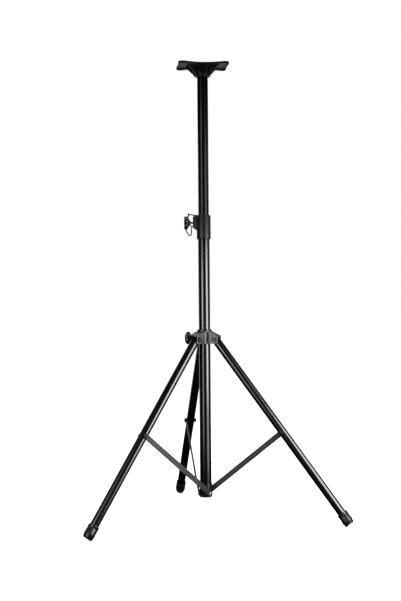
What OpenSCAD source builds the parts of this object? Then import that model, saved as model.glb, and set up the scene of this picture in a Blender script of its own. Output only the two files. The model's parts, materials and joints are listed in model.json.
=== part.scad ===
// Telescoping tripod stand with a flat top plate.
// Frame: +Z up, origin on the floor under the pole axis, rear leg along +Y, millimetres.

/* [Pole] */
// Outside diameter of the lower, outer tube
outer_tube_d = 38; // [36:1:42]
// Outside diameter of the upper, sliding tube
inner_tube_d = 35; // [32:1:35]
// Wall of the outer tube
outer_wall = 1.2; // [1:0.1:1.4]
// Wall of the inner tube
inner_wall = 1.5; // [1:0.1:2.5]
// Length of the inner tube
inner_tube_len = 860; // [600:10:900]
// Length of the nylon guide below the inner tube
guide_len = 60; // [12:1:60]
// Height of the inner tube's upper end
inner_top_z = 1475; // [1400:1:1600]
// Diameter of the cross holes for the safety pin
cross_hole_d = 6.5; // [5:0.5:8]
// Distance between cross holes
cross_hole_pitch = 55; // [40:5:80]
// How many cross holes there are above the safety pin
cross_holes_above = 6; // [2:1:7]
// How many cross holes there are from the safety pin downwards
cross_holes_below = 7; // [2:1:7]

/* [Top plate] */
// Width of the plate, its longer side
plate_w = 165; // [150:1:190]
// Depth of the plate, its shorter side
plate_d = 115; // [100:1:130]
// Height of the turned-down rim
rim_h = 8; // [6:1:12]
// Thickness of the plate's sheet and of its rim
plate_t = 2.5; // [2:0.5:3]
// Radius of the four corners
plate_corner_r = 14; // [12:1:18]
// How far the long sides curve inwards
long_side_dip = 18; // [10:1:20]
// How far the short sides curve inwards
short_side_dip = 2; // [1:0.5:12]
// How far the plate is turned about the pole
head_turn = -6; // [-45:1:45]
// Outside diameter of the socket under the plate
socket_d = 52; // [48:1:60]
// Height of the socket's lower rim above the floor
socket_z = 1444; // [1400:1:1450]
// Reach of the four gussets from the pole axis
gusset_reach = 61; // [50:1:70]
// Thickness of a gusset
gusset_t = 3; // [2:0.5:5]

/* [Clamp collar] */
// Outside diameter of the collar
collar_d = 46; // [45:1:52]
// Height of the collar
collar_h = 78; // [70:1:90]
// Height of the collar's upper rim above the floor
collar_top_z = 991; // [950:1:1020]
// Direction in which the knob, the boss and the safety pin point
clamp_az = 168; // [0:1:359]
// Reach of the boss from the pole axis
boss_reach = 35.5; // [33:0.5:40]
// Width of the boss
boss_w = 20; // [18:1:24]
// Diameter of the collar knob
collar_knob_d = 45; // [36:1:46]

/* [Hub] */
// Height of the hub's upper ring
hub_ring_h = 9; // [6:1:12]
// How far the hub's lower edge is below the leg pivots
hub_skirt = 13; // [11:1:14]
// How far the hub's upper edge is above the leg pivots
hub_rise = 33; // [30:1:40]
// Distance of the leg pivots from the pole axis
pivot_r = 38; // [38:0.5:42]
// Thickness of each ear of the three forks
ear_t = 5; // [4:0.5:6]
// Reach of the forks from the pole axis
fork_reach = 50; // [48:1:56]
// Diameter of the hub knob
hub_knob_d = 42; // [34:1:44]

/* [Legs] */
// Outside diameter of a leg tube
leg_d = 28; // [26:1:28]
// Wall of a leg tube
leg_wall = 1.5; // [1:0.1:2.5]
// Length of a leg from its pivot to the end of its foot
leg_len = 722; // [650:1:780]
// Angle between a leg and the pole when the stand is open
leg_angle = 37.1; // [30:0.1:40]
// Diameter of a foot where it grips the tube
foot_d = 35; // [32:1:40]
// Diameter of a foot at its end
foot_tip_d = 31; // [29:1:34]
// Length of a foot
foot_len = 42; // [30:1:60]

/* [Braces] */
// Distance along the leg from its pivot to the brace joint
brace_at = 366.8; // [330:0.1:400]
// Height of the lower brace pivots above the floor
brace_foot_z = 83; // [75:1:100]
// Width of the brace bar
brace_w = 18; // [16:1:22]
// Thickness of the brace bar
brace_t = 2.5; // [2:0.5:3]
// Outside diameter of the collar at the pole's foot
foot_collar_d = 41.4; // [41:0.1:44]
// Height of the collar at the pole's foot
foot_collar_h = 45; // [35:1:60]

/* [Fasteners] */
// Thread diameter of the pivot and clamping screws
screw_d = 8; // [8:1:8]
// Width across the corners of a screw head or nut
hex_d = 14.4; // [13:0.1:15]

/* [Safety pin] */
// Diameter of the safety pin
pin_d = 4; // [3:0.5:5]
// Length of the safety pin
pin_len = 34; // [28:1:40]
// Diameter of the lanyard
lanyard_d = 4; // [2.5:0.5:4]

/* [Hidden] */
LEG_NAMES = ["rear", "left", "right"];
LEG_AZ = [90, 210, 330];

$fn = 96;

// Fits: radial gap of a running fit, gap inside one rigid group, gap between moving bodies
run_gap = 0.05;
seat_gap = 0.05;
free_gap = 0.3;

outer_r = outer_tube_d / 2;
inner_r = inner_tube_d / 2;
leg_r = leg_d / 2;
screw_r = screw_d / 2;
hole_r = screw_r + run_gap;
pin_r = pin_d / 2;
pad_r = 6;

// The foot's lower edge stands on the floor, which sets the height of the leg pivots
pivot_z = leg_len * cos(leg_angle) + foot_tip_d / 2 * sin(leg_angle);
hub_bottom_z = pivot_z - hub_skirt;
hub_top_z = pivot_z + hub_rise;
hub_sleeve_r = 23.3;
hub_bush_r = 20.6;
hub_ring_r = 24.5;
fork_gap = leg_d + 1;
fork_w = fork_gap + 2 * ear_t;
roof_t = 4;
roof_drop = 15;
hub_knob_az = 150;
hub_knob_z = pivot_z + 5;
hub_boss_reach = 36;

collar_bottom_z = collar_top_z - collar_h;
bush_seat_z = collar_top_z - 40;
bush_r = 21;
clamp_z = collar_top_z - 24;
slit_w = 2;
slit_h = 12;
boss_drop = 3;
stud_drop = 13;
stud_r = 2;

outer_bottom_z = brace_foot_z + 15;
foot_collar_z = brace_foot_z - 12;

head_h = 4.4;
nut_h = 5.5;
thread_end = 1.5;
small_screw_r = 3;
clamp_screw_end = 55;
knob_neck_x = 43;

bar_top_y = leg_r + free_gap;
bar_foot_y = foot_collar_d / 2 + 0.4;

// Brace joint and lower brace pivot in the plane of a leg: distance from the pole axis, height
brace_joint = [pivot_r + brace_at * sin(leg_angle), pivot_z - brace_at * cos(leg_angle)];
brace_reach = [-brace_joint[0], brace_foot_z - brace_joint[1]];
brace_len = norm(brace_reach);
brace_tilt = atan2(brace_reach[0], brace_reach[1]);

// The safety pin slopes down to the pole, and is drawn back until its tip is clear of the inner tube
pin_slope = 12;
pin_z = collar_top_z - 0.8;
pin_lug_reach = 25;
pin_tip = inner_r + 1.2 - pin_lug_reach;
pin_entry_z = pin_z - (pin_lug_reach - inner_r) * tan(pin_slope);
pin_head_r = 3;
pin_head_len = 6;

// Lanyard route beside the collar knob: reach from the pole axis, sideways, height from the clamp screw
lanyard_route = [
    [48.5, -3.15, 28.3], [48.5, -7.5, 28.3], [49.5, -13, 26.5], [51.5, -20, 20], [54.5, -25.5, 11],
    [58, -28, 1], [60.5, -27, -9], [60, -23.5, -18], [57, -19, -26], [53, -14, -33], [49, -8.5, -38.5],
    [45, -4, -41.2], [41.8, -1.5, -38.5], [40.5, -0.4, -32], [40.3, 0, -24.5], [40.3, 0, -16]
];
lanyard_sides = 8;
lanyard_steps = 2;

module ring(r_out, r_in, h) {
    difference() {
        cylinder(r = r_out, h = h);
        translate([0, 0, -1]) cylinder(r = r_in, h = h + 2);
    }
}

// Round bar along +X, from one distance to another
module radial_bar(r, from, to) {
    translate([from, 0, 0]) rotate([0, 90, 0]) cylinder(r = r, h = to - from);
}

// Round bar along +Y, from one distance to another
module cross_bar(r, from, to) {
    translate([0, to, 0]) rotate([90, 0, 0]) cylinder(r = r, h = to - from);
}

// Hexagon head or nut along +Y
module cross_hex(from, to) {
    translate([0, to, 0]) rotate([90, 0, 0]) cylinder(d = hex_d, h = to - from, $fn = 6);
}

// Turns +X to face a compass direction at a height
module facing(az, z) {
    rotate([0, 0, az]) translate([0, 0, z]) children();
}

// Safety pin frame: +X outwards along the pin, origin where it leaves its lug
module pin_frame() {
    facing(clamp_az, pin_z) translate([pin_lug_reach, 0, 0]) rotate([0, -pin_slope, 0]) children();
}

// Leg frame: origin at the leg's pivot, +Z down the leg, +Y anticlockwise round the pole
module leg_frame(i) {
    rotate([0, 0, LEG_AZ[i]])
        translate([pivot_r, 0, pivot_z])
            rotate([0, 180 - leg_angle, 0]) children();
}

// Brace frame: origin at the brace joint, +Z down the bar, +Y anticlockwise round the pole
module brace_frame(i) {
    rotate([0, 0, LEG_AZ[i]])
        translate([brace_joint[0], 0, brace_joint[1]])
            rotate([0, brace_tilt, 0]) children();
}

// Radius of the arc that joins two corner circles and dips inwards between them
function dip_r(half, cross, dip) =
    let (k = cross - dip + plate_corner_r)
    ((half * half) + (k - cross) * (k - cross) - plate_corner_r * plate_corner_r)
    / (2 * (plate_corner_r - (k - cross)));

corner_x = plate_w / 2 - plate_corner_r;
corner_y = plate_d / 2 - plate_corner_r;
long_arc_r = dip_r(corner_x, corner_y, long_side_dip);
short_arc_r = dip_r(corner_y, corner_x, short_side_dip);
long_arc_y = plate_d / 2 - long_side_dip + long_arc_r;
short_arc_x = plate_w / 2 - short_side_dip + short_arc_r;

// Directions from a corner's centre to the centres of the two arcs that touch it
to_short_az = atan2(-corner_y, short_arc_x - corner_x);
to_long_az = atan2(long_arc_y - corner_y, -corner_x);

function arc_points(centre, r, from, to, first, last, steps) =
    [for (i = [first:last]) let (az = from + (to - from) * i / steps) centre + r * [cos(az), sin(az)]];

// Half of the plate's outline, with every edge moved inwards by the inset
function half_outline(inset) = concat(
    arc_points([corner_x, corner_y], plate_corner_r - inset, to_short_az, to_long_az, 0, 12, 12),
    arc_points([0, long_arc_y], long_arc_r + inset, to_long_az - 180, -to_long_az, 1, 15, 16),
    arc_points([-corner_x, corner_y], plate_corner_r - inset, 180 - to_long_az, 180 - to_short_az, 0, 12, 12),
    arc_points([-short_arc_x, 0], short_arc_r + inset, -to_short_az, to_short_az, 1, 11, 12)
);

module plate_outline(inset) {
    half = half_outline(inset);
    polygon(concat(half, -half));
}

plate_top_z = inner_top_z + 10;
plate_under_z = plate_top_z - plate_t;

module top_plate() {
    color("#26272a")
        rotate([0, 0, head_turn])
            translate([0, 0, plate_top_z - rim_h]) difference() {
                linear_extrude(rim_h) plate_outline(0);
                translate([0, 0, -plate_t]) linear_extrude(rim_h) plate_outline(plate_t);
            }
}

// Four upright webs from the socket to the corners of the plate
module head_gussets() {
    gusset_az = atan2(corner_y, corner_x);
    gusset_low_z = socket_z + 3;
    tip_h = 3;
    root_r = socket_d / 2 + seat_gap;
    color("#2b2c2f")
        for (az = [gusset_az, 180 - gusset_az, 180 + gusset_az, -gusset_az])
            rotate([0, 0, az + head_turn])
                translate([0, gusset_t / 2, 0]) rotate([90, 0, 0]) linear_extrude(gusset_t)
                    polygon([
                        [root_r, gusset_low_z], [gusset_reach, plate_under_z - tip_h],
                        [gusset_reach, plate_under_z], [root_r, plate_under_z]
                    ]);
}

// Low ribs on the front and the back of the socket that meet in a V
module socket_ribs(socket_h) {
    rib = 1.2;
    span = socket_d / 2 - 6;
    rise = socket_h - 15;
    intersection() {
        ring(socket_d / 2 + rib, socket_d / 2 - rib, socket_h);
        translate([0, socket_d, 0]) rotate([90, 0, 0]) linear_extrude(2 * socket_d)
            polygon([[0, 3], [span, rise], [span, rise + 2.5], [0, 6], [-span, rise + 2.5], [-span, rise]]);
    }
}

// Where the screw that keeps the socket on the tube goes
module at_head_screw() {
    facing(clamp_az, socket_z + 6) children();
}

module head_socket() {
    socket_h = plate_under_z - socket_z;
    chamfer = 2;
    color("#222326")
        difference() {
            union() {
                translate([0, 0, socket_z + chamfer]) cylinder(d = socket_d, h = socket_h - chamfer);
                translate([0, 0, socket_z]) cylinder(d1 = socket_d - 2 * chamfer, d2 = socket_d, h = chamfer);
                rotate([0, 0, head_turn]) translate([0, 0, socket_z]) socket_ribs(socket_h);
            }
            translate([0, 0, socket_z - 1]) cylinder(r = inner_r + run_gap, h = inner_top_z - socket_z + 1.3);
            at_head_screw() radial_bar(small_screw_r + seat_gap, inner_r - 2, socket_d);
        }
}

module head_screw() {
    head_x = socket_d / 2 + seat_gap;
    color("#7c7e82")
        at_head_screw() union() {
            radial_bar(small_screw_r, inner_r + 0.4, head_x + 1);
            translate([head_x, 0, 0]) rotate([0, 90, 0]) cylinder(d = 10, h = 2.5, $fn = 6);
        }
}

module inner_tube() {
    color("#141416")
        difference() {
            translate([0, 0, inner_top_z - inner_tube_len]) ring(inner_r, inner_r - inner_wall, inner_tube_len);
            for (k = [-cross_holes_below:cross_holes_above])
                facing(clamp_az, pin_entry_z + k * cross_hole_pitch)
                    radial_bar(cross_hole_d / 2, -inner_r - 5, inner_r + 5);
        }
}

// Nylon plug that guides the lower end of the inner tube inside the outer tube
module guide_bush() {
    stem_h = 25;
    waist_r = inner_r - inner_wall;
    color("#d8d6cc")
        translate([0, 0, inner_top_z - inner_tube_len - guide_len]) difference() {
            union() {
                for (z = [0, guide_len - 12])
                    translate([0, 0, z]) cylinder(r = outer_r - outer_wall - run_gap, h = 12);
                cylinder(r = waist_r - seat_gap, h = guide_len + stem_h);
            }
            translate([0, 0, -1]) cylinder(r = inner_r - 8, h = guide_len + stem_h + 2);
        }
}

module outer_tube() {
    color("#1a1a1d")
        translate([0, 0, outer_bottom_z])
            ring(outer_r, outer_r - outer_wall, bush_seat_z - outer_bottom_z);
}

// Collar that is fixed on the outer tube and squeezes the inner one
module clamp_collar() {
    collar_r = collar_d / 2;
    lug_w = 8;
    lug_h = 8.5;
    lip = 1.5;
    foot = 2;
    color("#202124")
        difference() {
            union() {
                translate([0, 0, collar_bottom_z + foot]) cylinder(r = collar_r, h = collar_h - foot - lip);
                translate([0, 0, collar_bottom_z]) cylinder(r1 = collar_r - foot, r2 = collar_r, h = foot);
                translate([0, 0, collar_top_z - lip]) cylinder(r1 = collar_r, r2 = collar_r - lip, h = lip);
                facing(clamp_az, 0) translate([0, boss_w / 2, 0]) rotate([90, 0, 0]) linear_extrude(boss_w)
                    polygon([
                        [0, collar_top_z - boss_drop], [boss_reach - lip, collar_top_z - boss_drop],
                        [boss_reach, collar_top_z - boss_drop - lip], [boss_reach, clamp_z - 15],
                        [collar_r - 0.5, clamp_z - 25], [0, clamp_z - 25]
                    ]);
                facing(clamp_az, 0) translate([bush_r + 0.2, -lug_w / 2, collar_top_z - lug_h + 3])
                    cube([pin_lug_reach - bush_r - 0.2, lug_w, lug_h]);
            }
            translate([0, 0, collar_bottom_z - 1])
                cylinder(r = outer_r + seat_gap, h = bush_seat_z - collar_bottom_z + 2);
            translate([0, 0, bush_seat_z]) cylinder(r = bush_r + seat_gap, h = collar_h);
            pin_frame() radial_bar(pin_r + run_gap, -pin_lug_reach, pin_lug_reach);
            facing(clamp_az, clamp_z) radial_bar(hole_r, bush_r - 2, boss_reach + 5);
            facing(clamp_az, clamp_z - stud_drop) radial_bar(stud_r + seat_gap, boss_reach - 6, boss_reach + 5);
            for (k = [0:3])
                facing(clamp_az + 70 + 90 * k, collar_top_z - slit_h)
                    translate([bush_r - 1, -slit_w / 2, 0]) cube([6, slit_w, slit_h + 1]);
        }
}

module collar_bush() {
    bush_h = collar_top_z - bush_seat_z;
    color("#101012")
        difference() {
            translate([0, 0, bush_seat_z + seat_gap]) ring(bush_r, inner_r + run_gap, bush_h + 0.8);
            facing(clamp_az, clamp_z) radial_bar(pad_r + seat_gap, inner_r - 2, bush_r + 2);
            pin_frame() radial_bar(pin_r + run_gap, -pin_lug_reach, 0);
        }
}

// Brass shoe between a clamping screw and a tube, in a hole through a bush
module clamp_shoe(tube_r, limit_r) {
    difference() {
        intersection() {
            radial_bar(pad_r, tube_r - 2, limit_r);
            translate([0, 0, -pad_r - 1]) cylinder(r = limit_r - seat_gap, h = 2 * pad_r + 2);
        }
        translate([0, 0, -pad_r - 1]) cylinder(r = tube_r + run_gap, h = 2 * pad_r + 2);
    }
}

module collar_pad() {
    color("#b08d4a")
        facing(clamp_az, clamp_z) clamp_shoe(inner_r, bush_r);
}

module collar_screw() {
    color("#6f7175")
        facing(clamp_az, clamp_z) radial_bar(screw_r, bush_r, clamp_screw_end);
}

// Hand knob with six lobes, along +X from its neck: cone at the back, shallow crown in front
module lobed_knob(d, neck_len, back_len, rim_len) {
    lobes = 6;
    lobe_r = d * 0.17;
    core_r = d / 2 - lobe_r * 0.62;
    neck_r = d * 0.2;
    crown_h = 3;
    crown_in = 5;
    bore_len = clamp_screw_end - knob_neck_x + 0.5;
    translate([knob_neck_x, 0, 0]) rotate([0, 90, 0]) difference() {
        union() {
            cylinder(r = neck_r, h = neck_len + 1);
            intersection() {
                translate([0, 0, neck_len]) linear_extrude(back_len + rim_len + crown_h) union() {
                    circle(r = core_r);
                    for (k = [0:lobes - 1])
                        rotate(k * 360 / lobes) translate([d / 2 - lobe_r, 0]) circle(r = lobe_r);
                }
                translate([0, 0, neck_len]) union() {
                    cylinder(r1 = neck_r, r2 = d / 2, h = back_len);
                    translate([0, 0, back_len]) cylinder(r = d / 2, h = rim_len);
                    translate([0, 0, back_len + rim_len]) cylinder(r1 = d / 2, r2 = d / 2 - crown_in, h = crown_h);
                }
            }
        }
        translate([0, 0, -1]) cylinder(r = screw_r + seat_gap, h = bore_len + 1);
    }
}

module collar_knob() {
    color("#161617")
        facing(clamp_az, clamp_z) lobed_knob(collar_knob_d, 3, 8, 7);
}

module safety_pin() {
    pin_end = pin_tip + pin_len;
    point = 1;
    color("#3a3b3e")
        pin_frame() union() {
            radial_bar(pin_r, pin_tip + point, pin_end);
            translate([pin_tip, 0, 0]) rotate([0, 90, 0]) cylinder(r1 = pin_r - point, r2 = pin_r, h = point);
            radial_bar(pin_head_r, pin_end - pin_head_len, pin_end);
        }
}

// Catmull-Rom point between the second and third of four points
function between(a, b, c, d, t) =
    0.5 * (2 * b + (c - a) * t + (2 * a - 5 * b + 4 * c - d) * t * t + (3 * b - a - 3 * c + d) * t * t * t);

function smooth_route(p, steps) =
    let (last = len(p) - 1)
    [for (i = [0:last - 1], s = [0:steps - 1])
        between(p[max(i - 1, 0)], p[i], p[i + 1], p[min(i + 2, last)], s / steps), p[last]];

// Ring of points about a route point, square to the route
function route_ring(p, i, r, sides) =
    let (
        ahead = p[min(i + 1, len(p) - 1)] - p[max(i - 1, 0)],
        side = cross(ahead, [1, 0, 0]) / norm(cross(ahead, [1, 0, 0])),
        up = cross(side, ahead) / norm(cross(side, ahead))
    )
    [for (k = [0:sides - 1]) p[i] + r * (side * cos(k * 360 / sides) + up * sin(k * 360 / sides))];

module swept_cord(route, r, sides) {
    rings = len(route);
    points = [for (i = [0:rings - 1]) each route_ring(route, i, r, sides)];
    walls = [for (i = [0:rings - 2], k = [0:sides - 1])
        [i * sides + k, i * sides + (k + 1) % sides, (i + 1) * sides + (k + 1) % sides, (i + 1) * sides + k]];
    start_cap = [for (k = [sides - 1:-1:0]) k];
    end_cap = [for (k = [0:sides - 1]) (rings - 1) * sides + k];
    polyhedron(points = points, faces = concat(walls, [start_cap, end_cap]), convexity = 8);
}

module lanyard() {
    color("#1c1c1e")
        facing(clamp_az, clamp_z)
            swept_cord(smooth_route(lanyard_route, lanyard_steps), lanyard_d / 2, lanyard_sides);
}

// Crimped sleeve on the lanyard's fixed end
module lanyard_ferrule() {
    last = lanyard_route[len(lanyard_route) - 1];
    color("#8d8f93")
        facing(clamp_az, clamp_z) translate(last) difference() {
            cylinder(r = lanyard_d / 2 + 0.6, h = 9);
            translate([0, 0, 3]) rotate([0, -90, 0]) cylinder(r = stud_r + seat_gap, h = 6);
        }
}

module lanyard_stud() {
    last = lanyard_route[len(lanyard_route) - 1];
    color("#6f7175")
        facing(clamp_az, clamp_z - stud_drop) radial_bar(stud_r, boss_reach - 5, last[0]);
}

// Core of the hub, with two shallow lands in each corner between two forks
module hub_core(h) {
    valley_r = 24.55;
    shoulder_r = 26.3;
    shoulder_az = 12.25;
    linear_extrude(h) polygon([
        for (az = LEG_AZ, step = [[60 - shoulder_az, shoulder_r], [60, valley_r], [60 + shoulder_az, shoulder_r]])
            step[1] * [cos(az + step[0]), sin(az + step[0])]
    ]);
}

// One fork of the hub: two ears and a sloping roof, in the plane of its leg
module hub_fork() {
    ear_round = 6;
    roof_z = hub_top_z - hub_ring_h + 3;
    for (s = [-1, 1])
        translate([0, s * (fork_w - ear_t) / 2 + ear_t / 2, 0]) rotate([90, 0, 0]) linear_extrude(ear_t) union() {
            polygon([
                [hub_sleeve_r - 3, hub_bottom_z], [fork_reach - ear_round, hub_bottom_z],
                [fork_reach, hub_bottom_z + ear_round], [fork_reach, roof_z - roof_drop],
                [hub_sleeve_r - 3, roof_z - 2]
            ]);
            translate([fork_reach - ear_round, hub_bottom_z + ear_round]) circle(r = ear_round);
        }
    translate([0, fork_w / 2, 0]) rotate([90, 0, 0]) linear_extrude(fork_w)
        polygon([
            [hub_sleeve_r - 2.5, roof_z], [fork_reach + 1, roof_z - roof_drop],
            [fork_reach + 1, roof_z - roof_drop - 1.5], [hub_sleeve_r - 2.5, roof_z - roof_t - 0.5]
        ]);
}

module hub_body() {
    color("#232427")
        difference() {
            union() {
                translate([0, 0, hub_bottom_z]) cylinder(r = hub_sleeve_r, h = hub_skirt + hub_rise - 2);
                translate([0, 0, hub_bottom_z]) hub_core(hub_skirt + hub_rise - hub_ring_h + 1);
                translate([0, 0, hub_top_z - hub_ring_h]) cylinder(r = hub_ring_r, h = hub_ring_h - 2);
                translate([0, 0, hub_top_z - 2]) cylinder(r1 = hub_ring_r, r2 = hub_ring_r - 2, h = 2);
                for (az = LEG_AZ) rotate([0, 0, az]) hub_fork();
                facing(hub_knob_az, hub_knob_z) rotate([20, 0, 0]) radial_bar(9, hub_sleeve_r - 2, hub_boss_reach);
            }
            translate([0, 0, hub_bottom_z - 1]) cylinder(r = hub_bush_r, h = hub_skirt + hub_rise + 2);
            for (az = LEG_AZ)
                facing(az, pivot_z) translate([pivot_r, 0, 0]) cross_bar(hole_r, -fork_w, fork_w);
            facing(hub_knob_az, hub_knob_z) radial_bar(hole_r, outer_r, hub_boss_reach + 5);
        }
}

module hub_bush() {
    color("#101012")
        difference() {
            translate([0, 0, hub_bottom_z + 1])
                ring(hub_bush_r - seat_gap, outer_r + run_gap, hub_skirt + hub_rise - 2);
            facing(hub_knob_az, hub_knob_z) radial_bar(pad_r + seat_gap, outer_r - 2, hub_bush_r + 2);
        }
}

module hub_pad() {
    color("#b08d4a")
        facing(hub_knob_az, hub_knob_z) clamp_shoe(outer_r, hub_bush_r);
}

module hub_screw() {
    color("#6f7175")
        facing(hub_knob_az, hub_knob_z) radial_bar(screw_r, hub_bush_r, clamp_screw_end);
}

module hub_knob() {
    color("#161617")
        facing(hub_knob_az, hub_knob_z) lobed_knob(hub_knob_d, 5, 4, 9);
}

module leg_pivot_bolts() {
    color("#5b5d61")
        for (az = LEG_AZ)
            facing(az, pivot_z) translate([pivot_r, 0, 0]) union() {
                cross_bar(screw_r, -fork_w / 2 - nut_h - thread_end, fork_w / 2 + 1);
                cross_hex(fork_w / 2 + seat_gap, fork_w / 2 + head_h);
            }
}

module leg_pivot_nuts() {
    color("#6f7175")
        for (az = LEG_AZ)
            facing(az, pivot_z) translate([pivot_r, 0, 0]) difference() {
                cross_hex(-fork_w / 2 - nut_h, -fork_w / 2 - seat_gap);
                cross_bar(screw_r + seat_gap, -fork_w, 0);
            }
}

// Where the screw that fixes the foot collar goes
module at_foot_collar_screw() {
    facing(hub_knob_az, foot_collar_z + foot_collar_h - 8) children();
}

// Cup on the pole's foot that the three braces hang on
module foot_collar() {
    cup_r = foot_collar_d / 2;
    chamfer = 1.5;
    color("#1d1e20")
        difference() {
            union() {
                translate([0, 0, foot_collar_z + chamfer]) cylinder(r = cup_r, h = foot_collar_h - chamfer);
                translate([0, 0, foot_collar_z]) cylinder(r1 = cup_r - chamfer, r2 = cup_r, h = chamfer);
            }
            translate([0, 0, outer_bottom_z - seat_gap]) cylinder(r = outer_r + seat_gap, h = foot_collar_h);
            for (az = LEG_AZ)
                facing(az + 90, brace_foot_z) radial_bar(screw_r - 0.6, cup_r - 12, cup_r + 2);
            at_foot_collar_screw() radial_bar(stud_r + seat_gap, outer_r - 2, cup_r + 2);
        }
}

module foot_collar_screw() {
    cup_r = foot_collar_d / 2;
    color("#5b5d61")
        at_foot_collar_screw() union() {
            radial_bar(stud_r, outer_r + seat_gap, cup_r + 0.5);
            radial_bar(small_screw_r, cup_r + seat_gap, cup_r + 1.5);
        }
}

module leg_tube(i) {
    color("#161618")
        leg_frame(i) difference() {
            union() {
                intersection() {
                    translate([0, 0, -leg_r - 1]) cylinder(r = leg_r, h = leg_r + 2);
                    cross_bar(leg_r, -leg_r - 1, leg_r + 1);
                }
                cylinder(r = leg_r, h = leg_len - 4);
            }
            translate([0, 0, -leg_r - 2]) cylinder(r = leg_r - leg_wall, h = leg_len + leg_r);
            cross_bar(hole_r, -leg_d, leg_d);
            translate([0, 0, brace_at]) cross_bar(hole_r, -leg_d, leg_d);
        }
}

// Nylon plug in the leg's upper end, which turns on the pivot bolt
module leg_plug(i) {
    plug_r = leg_r - leg_wall - seat_gap;
    color("#2e2f31")
        leg_frame(i) difference() {
            union() {
                intersection() {
                    translate([0, 0, -plug_r - 1]) cylinder(r = plug_r, h = plug_r + 2);
                    cross_bar(plug_r, -plug_r - 1, plug_r + 1);
                }
                cylinder(r = plug_r, h = 30);
            }
            cross_bar(hole_r, -leg_d, leg_d);
        }
}

module rubber_foot(i) {
    grip_len = foot_len - 14;
    bead_r = foot_d / 2 + 0.6;
    sole_t = 4;
    color("#1b1b1c")
        leg_frame(i) translate([0, 0, leg_len - foot_len]) difference() {
            rotate_extrude() polygon([
                [0, 0], [foot_d / 2 - 1, 0], [foot_d / 2, 1], [foot_d / 2, grip_len],
                [bead_r, grip_len + 1], [bead_r, grip_len + 3], [foot_d / 2 - 0.8, grip_len + 4],
                [foot_tip_d / 2, foot_len], [0, foot_len]
            ]);
            translate([0, 0, -1]) cylinder(r = leg_r + seat_gap, h = foot_len - sole_t + 1);
        }
}

module brace_bolt(i) {
    head_y = bar_top_y + brace_t + seat_gap;
    color("#5b5d61")
        leg_frame(i) translate([0, 0, brace_at]) union() {
            cross_bar(screw_r, -leg_r - nut_h - thread_end, head_y + 1);
            cross_hex(head_y, head_y + head_h);
        }
}

module brace_nut(i) {
    color("#6f7175")
        leg_frame(i) translate([0, 0, brace_at]) difference() {
            cross_hex(-leg_r - nut_h, -leg_r - seat_gap);
            cross_bar(screw_r + seat_gap, -leg_d, 0);
        }
}

// Spacer inside the leg tube that stops the brace bolt from crushing it
module brace_sleeve(i) {
    half = leg_r - leg_wall - 1.5;
    color("#8d8f93")
        leg_frame(i) translate([0, 0, brace_at]) difference() {
            cross_bar(screw_r + 2, -half, half);
            cross_bar(hole_r, -leg_d, leg_d);
        }
}

// Flat bar with a slow set, from beside the leg tube to beside the pole's foot
module brace_bar(i) {
    half_w = brace_w / 2;
    set_from = 30;
    set_to = brace_len - 65;
    color("#3b3d41")
        brace_frame(i) difference() {
            intersection() {
                translate([0, bar_foot_y + brace_t + 1, 0]) rotate([90, 0, 0]) linear_extrude(bar_foot_y + brace_t)
                    union() {
                        translate([-half_w, 0]) square([brace_w, brace_len]);
                        circle(r = half_w);
                        translate([0, brace_len]) circle(r = half_w);
                    }
                translate([-half_w - 1, 0, 0]) rotate([90, 0, 90]) linear_extrude(brace_w + 2)
                    polygon([
                        [bar_top_y, -half_w - 1], [bar_top_y + brace_t, -half_w - 1],
                        [bar_top_y + brace_t, set_from], [bar_foot_y + brace_t, set_to],
                        [bar_foot_y + brace_t, brace_len + half_w + 1], [bar_foot_y, brace_len + half_w + 1],
                        [bar_foot_y, set_to], [bar_top_y, set_from]
                    ]);
            }
            cross_bar(hole_r, 0, leg_d);
            translate([0, 0, brace_len]) cross_bar(hole_r, 0, 2 * bar_foot_y);
        }
}

// Shouldered screw at the brace's lower end
module brace_foot_screw(i) {
    outer_y = bar_foot_y + brace_t;
    foot_head_r = 6.5;
    foot_head_h = 3;
    color("#5b5d61")
        brace_frame(i) translate([0, 0, brace_len]) union() {
            cross_bar(screw_r, bar_foot_y, outer_y + 1);
            cross_bar(foot_head_r, outer_y + seat_gap, outer_y + foot_head_h);
        }
}

top_plate();
head_gussets();
head_socket();
head_screw();
inner_tube();
guide_bush();
outer_tube();
clamp_collar();
collar_bush();
collar_pad();
collar_screw();
collar_knob();
safety_pin();
lanyard();
lanyard_ferrule();
lanyard_stud();
hub_body();
hub_bush();
hub_pad();
hub_screw();
hub_knob();
leg_pivot_bolts();
leg_pivot_nuts();
foot_collar();
foot_collar_screw();
for (i = [0:2]) {
    side = LEG_NAMES[i];
    leg_tube(i);
    leg_plug(i);
    rubber_foot(i);
    brace_bolt(i);
    brace_nut(i);
    brace_sleeve(i);
    brace_bar(i);
    brace_foot_screw(i);
}
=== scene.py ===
import bpy, bmesh, json, math
from mathutils import Matrix, Vector


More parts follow.
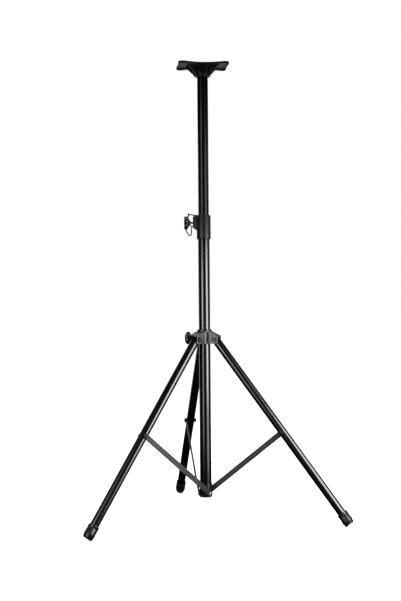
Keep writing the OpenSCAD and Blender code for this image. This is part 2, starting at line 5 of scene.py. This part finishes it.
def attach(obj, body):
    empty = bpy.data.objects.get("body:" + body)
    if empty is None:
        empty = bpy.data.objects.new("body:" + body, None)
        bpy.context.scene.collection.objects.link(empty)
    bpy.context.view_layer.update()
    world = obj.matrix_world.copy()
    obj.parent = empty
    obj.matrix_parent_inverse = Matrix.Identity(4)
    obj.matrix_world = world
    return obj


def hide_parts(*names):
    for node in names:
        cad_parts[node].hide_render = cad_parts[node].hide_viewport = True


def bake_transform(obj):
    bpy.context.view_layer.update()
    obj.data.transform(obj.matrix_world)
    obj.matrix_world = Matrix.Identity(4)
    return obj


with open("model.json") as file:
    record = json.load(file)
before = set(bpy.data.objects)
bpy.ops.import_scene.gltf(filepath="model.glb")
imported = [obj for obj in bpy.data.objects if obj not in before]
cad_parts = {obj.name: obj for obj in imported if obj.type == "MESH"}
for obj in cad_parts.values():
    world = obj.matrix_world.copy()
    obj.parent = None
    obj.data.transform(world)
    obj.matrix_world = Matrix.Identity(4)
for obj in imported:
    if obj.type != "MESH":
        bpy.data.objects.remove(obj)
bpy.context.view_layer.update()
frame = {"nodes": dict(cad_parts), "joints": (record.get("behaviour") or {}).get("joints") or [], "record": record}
nodes = frame["nodes"]
joint_at = {joint["name"]: Vector(joint["pos_m"]) for joint in frame["joints"] if "pos_m" in joint}
body_of = {node: body for body, members in frame["record"]["behaviour"]["bodies"].items() for node in members}

# ---------------------------------------------------------------- driving dimensions
# Lengths are in millimetres and directions in degrees, except where a name ends in _M (metres).
ORDER = ("rear", "left", "right")
LEG_AZ = {"rear": 90, "left": 210, "right": 330}

# Legs: lean from the pole, tube, length from pivot to sole, rubber foot, half width over a fork's two ears
LEG_ANGLE = 37.1
LEG_R = 14
LEG_LEN = 722
FOOT_LEN = 42
FORK_HALF = 19.5

# Braces: distance down the leg, height of the lower pivot, inner face of the bar at its top and at its foot
BRACE_AT = 366.8
BRACE_FOOT_Z = 83
BAR_TOP_Y = 14.3
BAR_FOOT_Y = 21.1
BAR_T = 2.5
BAR_SCREW_HEAD = 3

# Screws: shank, half the width across flats, a head radius just past the corners, heights, thread, clearance
SCREW_R = 4
HEX_FLAT = 6.235
HEX_CORNER = 7.3
HEAD_H = 4.4
NUT_H = 5.5
THREAD_PAST_NUT = 1.5
THREAD_PITCH = 1.25
THREAD_DEPTH = 0.7
GAP = 0.05

# Clamps of the collar and the hub: direction and height of each screw, reach of its knob and its ends
CLAMP_AZ = 168
CLAMP_Z_M = joint_at["collar_knob_turn"].z
HUB_KNOB_AZ = 150
HUB_KNOB_Z_M = joint_at["hub_knob_turn"].z
KNOB_NECK_X = 43
KNOB_BORE = 12.5
CLAMP_SCREW_END = 55
COLLAR_SCREW_START = 21
HUB_SCREW_START = 20.6

# Safety pin: where it leaves its lug, its slope, and its two ends along its own axis
PIN_R = 2
PIN_HEAD_R = 3
PIN_LUG_REACH = 25
PIN_Z = 990.2
PIN_SLOPE = 12
PIN_TIP = -6.3
PIN_END = 27.7

LANYARD_D_M = 0.004
LANYARD_STRANDS = 4
LANYARD_TURNS_PER_M = 60


# ---------------------------------------------------------------- camera
CAM_DISTANCE_M = 3.4
CAM_HEIGHT_M = 0.713
CAM_AZIMUTH = -101.7
CAM_YAW = 0.211
CAM_ROLL = -0.485
LENS = 62.24


def turn(degrees, axis, size=4):
    return Matrix.Rotation(math.radians(degrees), size, axis)


camera = bpy.data.objects.new("camera", bpy.data.cameras.new("camera"))
bpy.context.scene.collection.objects.link(camera)
camera.data.sensor_fit = "VERTICAL"
camera.data.sensor_height = 36
camera.data.lens = LENS
camera.data.clip_end = 200
camera.matrix_world = (
    turn(CAM_AZIMUTH, "Z")
    @ Matrix.Translation((CAM_DISTANCE_M, 0, CAM_HEIGHT_M))
    @ turn(90 + CAM_YAW, "Z")
    @ turn(90, "X")
    @ turn(CAM_ROLL, "Z")
)
bpy.context.scene.camera = camera
bpy.context.scene.view_settings.view_transform = "Standard"


# ---------------------------------------------------------------- material nodes
# Noise values lie mostly between these two, so ramps run from one to the other.
NOISE_LOW = 0.3
NOISE_HIGH = 0.7
STREAK_SCALE = 260
STREAK_STRETCH = (1, 1, 60)
GRAIN_DEPTH_M = 0.0004


def ramp(tree, factor, low, high):
    node = tree.nodes.new("ShaderNodeValToRGB")
    start, end = node.color_ramp.elements
    start.position = NOISE_LOW
    end.position = NOISE_HIGH
    start.color = (*low, 1)
    end.color = (*high, 1)
    tree.links.new(factor, node.inputs["Fac"])
    return node.outputs["Color"]


def spread(tree, factor, low, high):
    node = tree.nodes.new("ShaderNodeMapRange")
    for name, value in (("From Min", NOISE_LOW), ("From Max", NOISE_HIGH), ("To Min", low), ("To Max", high)):
        node.inputs[name].default_value = value
    tree.links.new(factor, node.inputs["Value"])
    return node.outputs["Result"]


def noise(tree, coords, scale, detail, stretch=(1, 1, 1), direction=(0, 0, 0)):
    mapping = tree.nodes.new("ShaderNodeMapping")
    mapping.vector_type = "TEXTURE"
    mapping.inputs["Rotation"].default_value = direction
    mapping.inputs["Scale"].default_value = stretch
    tree.links.new(coords, mapping.inputs["Vector"])
    node = tree.nodes.new("ShaderNodeTexNoise")
    node.inputs["Scale"].default_value = scale
    node.inputs["Detail"].default_value = detail
    tree.links.new(mapping.outputs["Vector"], node.inputs["Vector"])
    return node.outputs["Fac"]


def surface(name, dark, light, rough, grain, bump, metallic=0.0, streaks=0.0, direction=(0, 0, 0), patch=14,
            specular=0.5):
    """One finish: slow colour patches, roughness that varies, fine grain, streaks along the part."""
    mat = bpy.data.materials.new(name)
    mat.use_nodes = True
    tree = mat.node_tree
    shader = tree.nodes["Principled BSDF"]
    coords = tree.nodes.new("ShaderNodeTexCoord").outputs["Object"]
    patches = noise(tree, coords, patch, 4)
    along = noise(tree, coords, STREAK_SCALE, 3, STREAK_STRETCH, direction)
    fine = noise(tree, coords, grain, 2)
    tree.links.new(ramp(tree, patches, dark, light), shader.inputs["Base Color"])
    # Inputs 0, 2 and 3 of a mix of plain values are its factor and the two values.
    mix = tree.nodes.new("ShaderNodeMix")
    mix.inputs[0].default_value = streaks
    tree.links.new(patches, mix.inputs[2])
    tree.links.new(along, mix.inputs[3])
    tree.links.new(spread(tree, mix.outputs[0], *rough), shader.inputs["Roughness"])
    shader.inputs["Metallic"].default_value = metallic
    shader.inputs["Specular IOR Level"].default_value = specular
    relief = tree.nodes.new("ShaderNodeBump")
    relief.inputs["Strength"].default_value = bump
    relief.inputs["Distance"].default_value = GRAIN_DEPTH_M
    tree.links.new(fine, relief.inputs["Height"])
    tree.links.new(relief.outputs["Normal"], shader.inputs["Normal"])
    return mat


# ---------------------------------------------------------------- finishes
def grey(level):
    return (level, level, level * 1.04)


def paint(dark, light, rough, grain, bump, **more):
    return dict(dark=grey(dark), light=grey(light), rough=rough, grain=grain, bump=bump, **more)


def metal(dark, light, rough, bump, patch=160):
    return dict(dark=dark, light=light, rough=rough, grain=1500, bump=bump, metallic=1.0, patch=patch)


FINISHES = {
    "plate_black": paint(0.001, 0.003, (0.32, 0.42), 1500, 0.06, specular=0.3),
    "inner_tube_black": paint(0.0006, 0.0015, (0.2, 0.23), 1800, 0.005, streaks=0.5),
    "outer_tube_black": paint(0.001, 0.002, (0.19, 0.23), 900, 0.005, streaks=0.4),
    "brace_grey": paint(0.012, 0.02, (0.42, 0.55), 1400, 0.1, streaks=0.3, specular=0.3),
    "moulded_black": paint(0.002, 0.005, (0.34, 0.44), 2200, 0.12),
    "collar_black": paint(0.002, 0.005, (0.36, 0.46), 2200, 0.12, specular=0.25),
    "bush_black": paint(0.003, 0.006, (0.35, 0.45), 1600, 0.15),
    "knob_black": paint(0.002, 0.004, (0.3, 0.4), 2400, 0.12),
    "nylon_black": paint(0.02, 0.03, (0.35, 0.5), 1200, 0.12),
    "foot_rubber": paint(0.003, 0.006, (0.28, 0.36), 1100, 0.1, specular=0.3),
    "lanyard_black": paint(0.002, 0.006, (0.55, 0.75), 2600, 0.3, patch=900, specular=0.15),
    "nylon_white": dict(dark=(0.62, 0.6, 0.53), light=(0.7, 0.68, 0.62), rough=(0.35, 0.5), grain=1200,
                        bump=0.12),
    "zinc_steel": metal((0.45, 0.46, 0.48), (0.6, 0.61, 0.63), (0.25, 0.42), 0.12),
    "dark_steel": metal((0.018, 0.018, 0.019), (0.035, 0.035, 0.037), (0.3, 0.45), 0.15),
    "screw_steel": metal((0.2, 0.2, 0.205), (0.3, 0.3, 0.305), (0.3, 0.45), 0.12),
    "pin_steel": metal((0.02, 0.02, 0.021), (0.045, 0.045, 0.047), (0.25, 0.4), 0.1, patch=200),
    "crimp_metal": metal((0.4, 0.4, 0.41), (0.55, 0.55, 0.56), (0.25, 0.4), 0.12, patch=200),
    "brass_shoe": metal((0.5, 0.33, 0.12), (0.62, 0.43, 0.18), (0.25, 0.4), 0.12),
}
materials = {name: surface(name, **look) for name, look in FINISHES.items()}


def leg_material(side):
    """The outer tube's paint, with its streaks turned to run down the leg."""
    down = turn(LEG_AZ[side], "Z", 3) @ turn(180 - LEG_ANGLE, "Y", 3)
    return surface(f"leg_black_{side}", **FINISHES["outer_tube_black"], direction=tuple(down.to_euler()))


def for_each_leg(*parts):
    return [f"{part}_{side}" for part in parts for side in ORDER]


CAD_FINISH = {
    "plate_black": ["top_plate", "head_gussets", "head_socket"],
    "inner_tube_black": ["inner_tube"],
    "outer_tube_black": ["outer_tube"],
    "moulded_black": ["clamp_collar", "hub_body", "foot_collar"],
    "bush_black": ["collar_bush", "hub_bush"],
    "knob_black": ["collar_knob", "hub_knob"],
    "nylon_white": ["guide_bush"],
    "nylon_black": for_each_leg("leg_plug"),
    "foot_rubber": for_each_leg("rubber_foot"),
    "zinc_steel": ["collar_screw", "hub_screw", "lanyard_stud"] + for_each_leg("brace_sleeve"),
    "dark_steel": ["head_screw", "leg_pivot_bolts", "leg_pivot_nuts", "foot_collar_screw"]
                  + for_each_leg("brace_bolt", "brace_nut", "brace_foot_screw"),
    "pin_steel": ["safety_pin"],
    "crimp_metal": ["lanyard_ferrule"],
    "brass_shoe": ["collar_pad", "hub_pad"],
    "brace_grey": for_each_leg("brace_bar"),
    "lanyard_black": ["lanyard"],
}


def dress(obj, mat):
    if obj.data.materials:
        for i in range(len(obj.data.materials)):
            obj.data.materials[i] = mat
    else:
        obj.data.materials.append(mat)


for finish_name, members in CAD_FINISH.items():
    for member in members:
        dress(nodes[member], materials[finish_name])
for side in ORDER:
    dress(nodes[f"leg_tube_{side}"], leg_material(side))


# ---------------------------------------------------------------- mesh helpers
MM = Matrix.Scale(0.001, 4)
ALONG_X = turn(90, "Y")
ALONG_Y = turn(-90, "X")


def shift(x, y, z):
    """A move in millimetres."""
    return Matrix.Translation(Vector((x, y, z)) / 1000)


def new_piece(name, bm, finish, body, replaced, matrix=None, sharp=0.6):
    """Makes an object of the mesh, smooth except at edges past the sharp angle, and hands it to its body."""
    bmesh.ops.remove_doubles(bm, verts=bm.verts, dist=1e-7)
    bmesh.ops.recalc_face_normals(bm, faces=bm.faces)
    if matrix is not None:
        bm.transform(matrix)
    for face in bm.faces:
        face.smooth = True
    for edge in bm.edges:
        edge.smooth = len(edge.link_faces) != 2 or edge.calc_face_angle(0) < sharp
    mesh = bpy.data.meshes.new(name)
    bm.to_mesh(mesh)
    bm.free()
    mesh.materials.append(materials[finish])
    obj = bpy.data.objects.new(name, mesh)
    bpy.context.scene.collection.objects.link(obj)
    if body:
        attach(obj, body)
    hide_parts(*replaced)
    return obj


def lathe(bm, profile, matrix, sides, shape=None, loop=False):
    """Turns a profile of (radius, position) about Z; shape limits the radius by direction."""
    rings = []
    for r, x in profile:
        ring = []
        for k in range(sides if r else 1):
            a = 2 * math.pi * k / sides
            radius = shape(r, a) if shape else r
            corner = Vector((radius * math.cos(a), radius * math.sin(a), x))
            ring.append(bm.verts.new(matrix @ MM @ corner))
        rings.append(ring)
    for low, high in list(zip(rings, rings[1:])) + ([(rings[-1], rings[0])] if loop else []):
        for k in range(sides):
            n = (k + 1) % sides
            corners = (low[k % len(low)], low[n % len(low)], high[n % len(high)], high[k % len(high)])
            bm.faces.new(list(dict.fromkeys(corners)))


def turned(name, profile, places, sides, finish, body, replaced, shape=None, loop=False,
           sharp=0.5):
    """One piece of the same turned shape at each of the places."""
    bm = bmesh.new()
    for place in places:
        lathe(bm, profile, place, sides, shape, loop)
    return new_piece(name, bm, finish, body, [replaced], sharp=sharp)


# ---------------------------------------------------------------- leg and brace frames
def leg_frame(side):
    """Origin at the leg's pivot, Z down the leg, Y anticlockwise round the pole."""
    pivot = Matrix.Translation(joint_at[f"leg_fold_{side}"])
    return pivot @ turn(LEG_AZ[side], "Z") @ turn(180 - LEG_ANGLE, "Y")


def brace_foot_frame(side):
    """Origin at the brace's lower pivot, on the pole's axis, Z on along the bar, Y as in the leg's frame."""
    joint = joint_at[f"brace_fold_{side}"]
    inward = -joint.xy.length
    upward = BRACE_FOOT_Z / 1000 - joint.z
    tilt = math.degrees(math.atan2(inward, upward))
    reach = Matrix.Translation((0, 0, math.hypot(inward, upward)))
    return Matrix.Translation(joint) @ turn(LEG_AZ[side], "Z") @ turn(tilt, "Y") @ reach


# ---------------------------------------------------------------- bolts, nuts and lower screws
HEX_SIDES = 72


def hexagon(r, a):
    return min(r, HEX_FLAT / math.cos(a % math.radians(60) - math.radians(30)))


def bolt_profile(start, head_at):
    """A shank with a rounded end and a chamfered head that has a shallow forged dish."""
    top = head_at + HEAD_H
    return [(0, start), (SCREW_R - 0.8, start), (SCREW_R, start + 0.8), (SCREW_R, head_at),
            (6.5, head_at), (HEX_CORNER, head_at + 0.5), (HEX_CORNER, top - 0.8), (6.2, top),
            (5.0, top), (4.4, top - 0.4), (0, top - 0.4)]


def nut_profile(start):
    bore = SCREW_R + GAP
    end = start + NUT_H
    return [(bore, start + 0.5), (bore + 0.6, start), (6.4, start), (HEX_CORNER, start + 0.8),
            (HEX_CORNER, end - 0.6), (6.5, end - GAP), (bore + 0.6, end - GAP), (bore, end - 0.6)]


def pivot_hardware():
    """The three bolts through the hub's forks, and their nuts."""
    places = [leg_frame(side) @ turn(LEG_ANGLE - 180, "Y") @ ALONG_Y for side in ORDER]
    bolt = bolt_profile(-FORK_HALF - NUT_H - THREAD_PAST_NUT, FORK_HALF + GAP)
    nut = nut_profile(-FORK_HALF - NUT_H)
    turned("pivot_bolts_turned", bolt, places, HEX_SIDES, "dark_steel", "hub", "leg_pivot_bolts",
           shape=hexagon)
    turned("pivot_nuts_turned", nut, places, HEX_SIDES, "dark_steel", "hub", "leg_pivot_nuts",
           shape=hexagon, loop=True)


def brace_hardware(side):
    """The bolt and nut that join a brace to its leg."""
    across = [leg_frame(side) @ shift(0, 0, BRACE_AT) @ ALONG_Y]
    bolt = bolt_profile(-LEG_R - NUT_H - THREAD_PAST_NUT, BAR_TOP_Y + BAR_T + GAP)
    nut = nut_profile(-LEG_R - NUT_H)
    turned(f"brace_bolt_turned_{side}", bolt, across, HEX_SIDES, "dark_steel", f"leg_{side}",
           f"brace_bolt_{side}", shape=hexagon)
    turned(f"brace_nut_turned_{side}", nut, across, HEX_SIDES, "dark_steel", f"leg_{side}",
           f"brace_nut_{side}", shape=hexagon, loop=True)


def brace_foot_screw(side):
    """The low-headed shouldered screw at a brace's lower end."""
    face = BAR_FOOT_Y + BAR_T
    top = face + BAR_SCREW_HEAD
    profile = [(0, BAR_FOOT_Y), (SCREW_R, BAR_FOOT_Y), (SCREW_R, face + GAP), (6.5, face + GAP),
               (6.5, face + 1.2), (6.1, face + 2.0), (5.2, face + 2.6), (3.6, top), (2.6, top),
               (2.2, top - 0.8), (0, top - 0.8)]
    place = brace_foot_frame(side) @ ALONG_Y
    turned(f"brace_foot_screw_turned_{side}", profile, [place], 48, "screw_steel",
           f"brace_{side}", f"brace_foot_screw_{side}", sharp=0.7)


def foot(side):
    """A rubber foot: socket for the leg, rolled rim, a groove, a raised band and a tapering sole."""
    bore = LEG_R + GAP
    profile = [(0, 38), (bore, 38), (bore, 0.6), (14.6, 0), (16.4, 0), (17.2, 0.35), (17.5, 1.2),
               (17.5, 8.6), (17.1, 9.1), (17.1, 10.1), (17.5, 10.6), (17.5, 27.4), (17.75, 28.1), (18.1, 29),
               (18.1, 30.8), (17.7, 31.7), (16.9, 32.4), (16.5, 33.6), (15.55, 41.5), (15.38, 41.85),
               (15.05, FOOT_LEN), (6, FOOT_LEN), (5.4, 41.3), (0, 41.3)]
    place = leg_frame(side) @ shift(0, 0, LEG_LEN - FOOT_LEN)
    turned(f"foot_moulded_{side}", profile, [place], 96, "foot_rubber", f"leg_{side}", f"rubber_foot_{side}",
           sharp=0.7)


pivot_hardware()
for side in ORDER:
    brace_hardware(side)
    brace_foot_screw(side)
    foot(side)


# ---------------------------------------------------------------- knobs and their screws
def lobes(d):
    """Radius of a six-lobed knob by direction, with soft hollows between the lobes."""
    lobe_r = 0.17 * d
    reach = d / 2 - lobe_r
    core = d / 2 - 0.62 * lobe_r
    hollow_power = 24
    rim_power = 12

    def shape(r, a):
        off = (a + math.radians(30)) % math.radians(60) - math.radians(30)
        inside = lobe_r ** 2 - (reach * math.sin(off)) ** 2
        lobe = reach * math.cos(off) + math.sqrt(inside) if inside > 0 else 0
        limit = (core ** hollow_power + lobe ** hollow_power) ** (1 / hollow_power)
        return (r ** -rim_power + limit ** -rim_power) ** (-1 / rim_power) if r > 0.35 * d else r

    return shape


def knob_profile(d, neck_len, back_len, rim_len):
    """Neck, sloping back, rim and dished front; radii past the rim are drawn in by the lobes' shape."""
    neck = 0.2 * d
    half = d / 2
    back = neck_len + back_len
    rim = back + rim_len
    top = rim + 3
    bore = SCREW_R + GAP
    slope = [(neck + (half - neck) * t, neck_len + back_len * t) for t in (0.25, 0.5, 0.75, 0.9)]
    return [(0, KNOB_BORE), (bore, KNOB_BORE), (bore, 0.6), (SCREW_R + 0.6, 0), (neck - 0.7, 0), (neck, 0.7),
            (neck, neck_len - 0.4), (neck + 0.8, neck_len + 0.3), *slope,
            (half + 2, back + 0.2), (half + 8, back + 1.4), (half + 20, (back + rim) / 2),
            (half + 8, rim - 1), (half + 2, rim + 0.3), (half - 1.5, rim + 1.5), (half - 3.5, rim + 2.4),
            (half - 6, top), (half - 9.5, top), (half - 10.2, top - 0.8), (0, top - 0.8)]


def knob(name, body, azimuth, height_m, d, neck_len, back_len, rim_len):
    place = turn(azimuth, "Z") @ shift(KNOB_NECK_X, 0, height_m * 1000) @ ALONG_X
    profile = knob_profile(d, neck_len, back_len, rim_len)
    turned(f"{name}_moulded", profile, [place], 120, "knob_black", body, name, shape=lobes(d), sharp=0.8)


def clamp_screw(name, body, azimuth, height_m, start):
    """A screw with real thread ridges from its shoe end to just short of the knob's bore."""
    root = SCREW_R - THREAD_DEPTH
    profile = [(0, start), (root, start), (root, start + 1)]
    x = start + 1
    while x < CLAMP_SCREW_END - 2:
        profile += [(SCREW_R, x + 0.55), (SCREW_R, x + 0.7), (root, x + THREAD_PITCH)]
        x += THREAD_PITCH
    profile += [(root, CLAMP_SCREW_END), (0, CLAMP_SCREW_END)]
    place = turn(azimuth, "Z") @ shift(0, 0, height_m * 1000) @ ALONG_X
    turned(f"{name}_threaded", profile, [place], 32, "zinc_steel", body, name)


knob("collar_knob", "collar_clamp", CLAMP_AZ, CLAMP_Z_M, d=45, neck_len=3, back_len=8, rim_len=7)
knob("hub_knob", "hub_clamp", HUB_KNOB_AZ, HUB_KNOB_Z_M, d=42, neck_len=5, back_len=4, rim_len=9)
clamp_screw("collar_screw", "collar_clamp", CLAMP_AZ, CLAMP_Z_M, COLLAR_SCREW_START)
clamp_screw("hub_screw", "hub_clamp", HUB_KNOB_AZ, HUB_KNOB_Z_M, HUB_SCREW_START)


# ---------------------------------------------------------------- safety pin
def safety_pin():
    place = turn(CLAMP_AZ, "Z") @ shift(PIN_LUG_REACH, 0, PIN_Z) @ turn(-PIN_SLOPE, "Y") @ ALONG_X
    profile = [(0, PIN_TIP), (0.8, PIN_TIP), (1.5, PIN_TIP + 0.4), (PIN_R, PIN_TIP + 1.2),
               (PIN_R, PIN_END - 6.2), (2.6, PIN_END - 6), (PIN_HEAD_R, PIN_END - 5.5),
               (PIN_HEAD_R, PIN_END - 1), (2.6, PIN_END - 0.3), (1.8, PIN_END), (0, PIN_END)]
    turned("safety_pin_turned", profile, [place], 40, "pin_steel", "safety_pin", "safety_pin", sharp=0.9)


safety_pin()


# ---------------------------------------------------------------- pressed and cast pieces
def rounded(name, width, finish):
    """A copy of a modelled piece with its sharp edges rounded off by a radius in metres."""
    bm = bmesh.new()
    bm.from_mesh(nodes[name].data)
    bmesh.ops.remove_doubles(bm, verts=bm.verts, dist=1e-6)
    bmesh.ops.dissolve_limit(bm, angle_limit=0.01, verts=bm.verts, edges=bm.edges)
    edges = [e for e in bm.edges if len(e.link_faces) == 2 and e.calc_face_angle(0) > 0.6]
    bmesh.ops.bevel(bm, geom=edges, offset=width, offset_type="OFFSET", segments=4, profile=0.5,
                    affect="EDGES", clamp_overlap=True)
    new_piece(f"{name}_rounded", bm, finish, body_of[name], [name], matrix=nodes[name].matrix_world,
              sharp=0.36)


rounded("top_plate", 0.0008, "plate_black")
rounded("head_gussets", 0.0004, "plate_black")
rounded("head_socket", 0.0005, "plate_black")
rounded("clamp_collar", 0.0005, "collar_black")
rounded("hub_body", 0.0005, "moulded_black")
rounded("foot_collar", 0.0005, "collar_black")


# ---------------------------------------------------------------- lanyard
# The route beside the collar knob, from the pin to the stud on the boss: reach from the pole's axis,
# sideways, and height from the clamp screw, in metres.
LANYARD_ROUTE_M = [
    (0.0485, -0.00315, 0.0283), (0.0485, -0.0075, 0.0283), (0.0495, -0.013, 0.0265), (0.0515, -0.020, 0.020),
    (0.0545, -0.0255, 0.011), (0.058, -0.028, 0.001), (0.0605, -0.027, -0.009), (0.060, -0.0235, -0.018),
    (0.057, -0.019, -0.026), (0.053, -0.014, -0.033), (0.049, -0.0085, -0.0385), (0.045, -0.004, -0.0412),
    (0.0418, -0.0015, -0.0385), (0.0405, -0.0004, -0.032), (0.0403, 0, -0.0245), (0.0403, 0, -0.016),
]


def smooth_line(points, steps):
    """A curve through the points, with so many steps from each to the next."""
    line = []
    last = len(points) - 1
    for i in range(last):
        a, b, c, d = points[max(i - 1, 0)], points[i], points[i + 1], points[min(i + 2, last)]
        for s in range(steps):
            t = s / steps
            line.append(0.5 * (2 * b + (c - a) * t + (2 * a - 5 * b + 4 * c - d) * t * t
                               + (3 * b - a - 3 * c + d) * t * t * t))
    return line + [points[last]]


def twisted_cord(line, radius, sides, strands, turns_per_metre):
    """A laid cord: its strands show as low ridges that wind along it."""
    bm = bmesh.new()
    rings = []
    run = 0.0
    side = (line[1] - line[0]).normalized().orthogonal().normalized()
    for i, point in enumerate(line):
        ahead = (line[min(i + 1, len(line) - 1)] - line[max(i - 1, 0)]).normalized()
        side = (side - ahead * side.dot(ahead)).normalized()
        up = ahead.cross(side)
        if i:
            run += (point - line[i - 1]).length
        ring = []
        for k in range(sides):
            a = 2 * math.pi * k / sides
            lift = radius * (0.93 + 0.07 * math.cos(strands * (a - 2 * math.pi * run * turns_per_metre)))
            ring.append(bm.verts.new(point + lift * (side * math.cos(a) + up * math.sin(a))))
        rings.append(ring)
    for low, high in zip(rings, rings[1:]):
        for k in range(sides):
            n = (k + 1) % sides
            bm.faces.new((low[k], low[n], high[n], high[k]))
    bm.faces.new(rings[0])
    bm.faces.new(rings[-1][::-1])
    return bm


clamp_frame = turn(CLAMP_AZ, "Z") @ Matrix.Translation((0, 0, CLAMP_Z_M))
lanyard_points = [clamp_frame @ Vector(point) for point in LANYARD_ROUTE_M]

fine_route = smooth_line(lanyard_points, 16)
cord_mesh = twisted_cord(fine_route, LANYARD_D_M / 2, 20, LANYARD_STRANDS, LANYARD_TURNS_PER_M)
lanyard = new_piece("lanyard_cord", cord_mesh, "lanyard_black", None, ["lanyard"], sharp=1.2)
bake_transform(lanyard)


# ---------------------------------------------------------------- floor and world
FLOOR_HALF_M = 40
FLOOR_DROP_M = 0.0005
WORLD_GLOW = 0.004


def studio_floor():
    """A plain pale floor that lights nothing, just under the feet."""
    bm = bmesh.new()
    bmesh.ops.create_grid(bm, x_segments=8, y_segments=8, size=FLOOR_HALF_M)
    mesh = bpy.data.meshes.new("studio_floor")
    bm.to_mesh(mesh)
    bm.free()
    floor = bpy.data.objects.new("studio_floor", mesh)
    bpy.context.scene.collection.objects.link(floor)
    floor.location.z = -FLOOR_DROP_M
    floor.visible_glossy = False
    floor.visible_diffuse = False
    mat = bpy.data.materials.new("studio_floor")
    mat.use_nodes = True
    tree = mat.node_tree
    shader = tree.nodes["Principled BSDF"]
    coords = tree.nodes.new("ShaderNodeTexCoord").outputs["Object"]
    shade = ramp(tree, noise(tree, coords, 2.0, 3), (0.86, 0.86, 0.86), (0.88, 0.88, 0.88))
    tree.links.new(shade, shader.inputs["Base Color"])
    shader.inputs["Roughness"].default_value = 0.9
    shader.inputs["Specular IOR Level"].default_value = 0.0
    mesh.materials.append(mat)


def studio_world():
    """A white backdrop for the camera, and hardly any light from it for the stand."""
    world = bpy.data.worlds.new("studio")
    bpy.context.scene.world = world
    world.use_nodes = True
    tree = world.node_tree
    glow = tree.nodes["Background"]
    glow.inputs["Color"].default_value = (1, 1, 1, 1)
    glow.inputs["Strength"].default_value = WORLD_GLOW
    backdrop = tree.nodes.new("ShaderNodeBackground")
    backdrop.inputs["Color"].default_value = (1, 1, 1, 1)
    backdrop.inputs["Strength"].default_value = 1.0
    light_path = tree.nodes.new("ShaderNodeLightPath")
    choose = tree.nodes.new("ShaderNodeMixShader")
    tree.links.new(light_path.outputs["Is Camera Ray"], choose.inputs[0])
    tree.links.new(glow.outputs[0], choose.inputs[1])
    tree.links.new(backdrop.outputs[0], choose.inputs[2])
    tree.links.new(choose.outputs[0], tree.nodes["World Output"].inputs["Surface"])


studio_floor()
studio_world()


# ---------------------------------------------------------------- lights
def softbox(name, azimuth, distance, height, width, tall, radiance, aim=None):
    """A soft panel, in metres, azimuth degrees anticlockwise from the camera, facing the pole at a height."""
    data = bpy.data.lights.new(name, "AREA")
    data.shape = "RECTANGLE"
    data.size = width
    data.size_y = tall
    data.energy = radiance * math.pi * width * tall
    lamp = bpy.data.objects.new(name, data)
    bpy.context.scene.collection.objects.link(lamp)
    place = turn(CAM_AZIMUTH + azimuth, "Z", 3) @ Vector((distance, 0, height))
    target = Vector((0, 0, height if aim is None else aim))
    facing = (target - place).to_track_quat("-Z", "Y").to_matrix().to_4x4()
    lamp.matrix_world = Matrix.Translation(place) @ facing
    lamp.visible_camera = False


def overhead_sun():
    """Wide, soft light from above that whitens the floor and adds no glint to the paint."""
    sun = bpy.data.objects.new("overhead", bpy.data.lights.new("overhead", "SUN"))
    bpy.context.scene.collection.objects.link(sun)
    sun.data.energy = 4.2
    sun.data.angle = math.radians(120)
    sun.visible_glossy = False


softbox("key_right", azimuth=53, distance=1.0, height=0.62, width=0.6, tall=0.64, radiance=17)
softbox("key_right_low", azimuth=53, distance=1.0, height=0.15, width=0.6, tall=0.3, radiance=6)
softbox("fill_left", azimuth=-38, distance=1.3, height=0.7, width=0.58, tall=0.4, radiance=12)
softbox("fill_left_low", azimuth=-38, distance=1.3, height=0.29, width=0.58, tall=0.42, radiance=5)
softbox("upper_right", azimuth=53, distance=1.1, height=1.2, width=0.6, tall=0.45, radiance=2)
softbox("upper_left", azimuth=-38, distance=1.4, height=1.3, width=0.58, tall=0.6, radiance=2)
softbox("back", azimuth=180, distance=2.4, height=0.7, width=1.6, tall=1.6, radiance=0.4)
softbox("behind_right", azimuth=138, distance=1.8, height=0.75, width=0.8, tall=1.5, radiance=1.3)
softbox("behind_left", azimuth=-142, distance=1.8, height=0.75, width=0.8, tall=1.5, radiance=1.3)
softbox("high_back", azimuth=180, distance=2.5, height=3.0, width=1.5, tall=1.0, radiance=10, aim=0.5)
overhead_sun()
